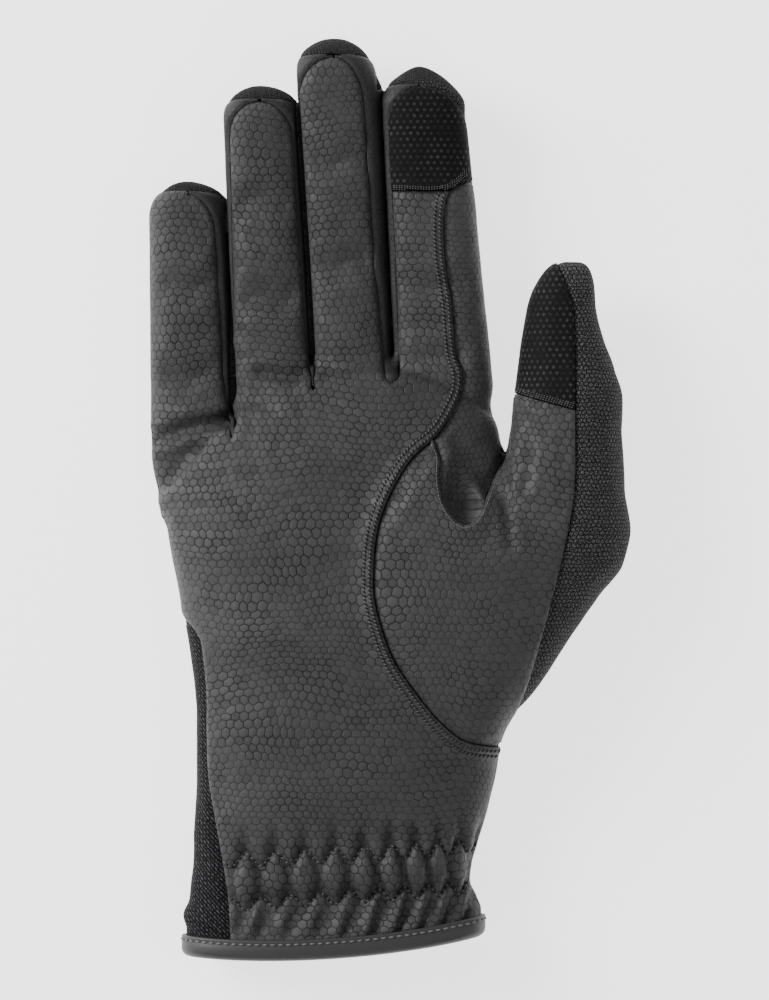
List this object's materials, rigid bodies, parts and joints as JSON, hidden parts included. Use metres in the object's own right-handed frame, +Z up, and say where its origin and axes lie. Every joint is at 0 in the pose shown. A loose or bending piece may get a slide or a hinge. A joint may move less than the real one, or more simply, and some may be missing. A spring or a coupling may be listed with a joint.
{
  "type": "horse riding glove",
  "caption": "Right-hand riding glove: grained leather palm, knit mesh back and thumb, touch patches, gathered wrist and bound cuff",
  "frame": {"origin": "middle of the glove's bounding box on the surface it lies on", "axes": "+Z up out of the palm, +Y from the cuff to the fingertips, +X to the thumb"},
  "size_m": [0.1246, 0.2388, 0.0293],
  "materials": {
    "leather": "satin",
    "knit": "matte",
    "touch": "matte"
  },
  "bodies": {
    "root": {"palm_panel": "leather", "index_side_panel": "leather", "thumb_palm_panel": "leather", "fourchette_little_ring": "leather", "fourchette_ring_middle": "leather", "fourchette_middle_index": "leather", "index_touch_patch": "touch", "thumb_touch_patch": "touch", "thumb_back_panel": "knit", "back_panel": "knit", "wrist_side_panel": "knit", "cuff_binding": "leather"}
  },
  "joints": []
}
